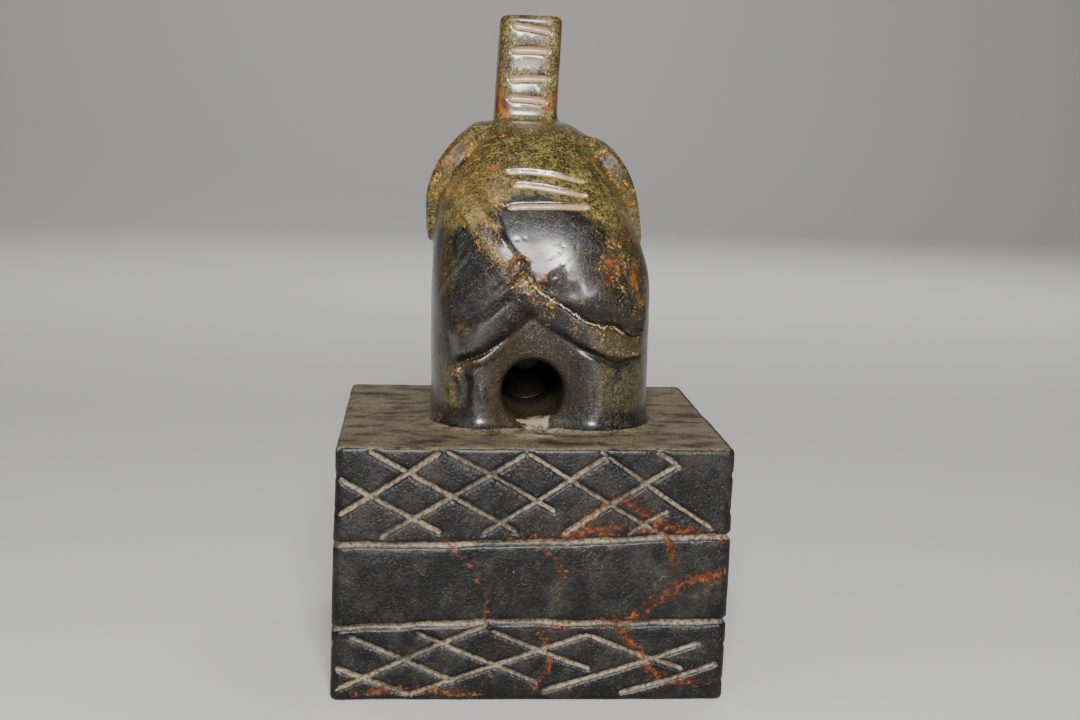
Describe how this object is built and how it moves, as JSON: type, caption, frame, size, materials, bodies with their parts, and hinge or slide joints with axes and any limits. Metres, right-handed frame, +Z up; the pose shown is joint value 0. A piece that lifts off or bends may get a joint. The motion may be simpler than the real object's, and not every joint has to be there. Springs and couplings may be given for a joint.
{
  "type": "carved stone elephant figurine",
  "caption": "Standing elephant with raised trunk, carved with its rectangular block from one dark stone; crossed lines round the block.",
  "frame": {"origin": "centre of the block's underside", "axes": "+Z up, +Y the way the elephant looks, so the pictured rump and the tail face -Y"},
  "size_m": [0.1012, 0.1, 0.1735],
  "materials": {
    "iron_stone": "polished dark iron-rich stone with rust veins and pale tool marks"
  },
  "bodies": {
    "root": {"elephant_on_block": "iron_stone"}
  },
  "joints": []
}
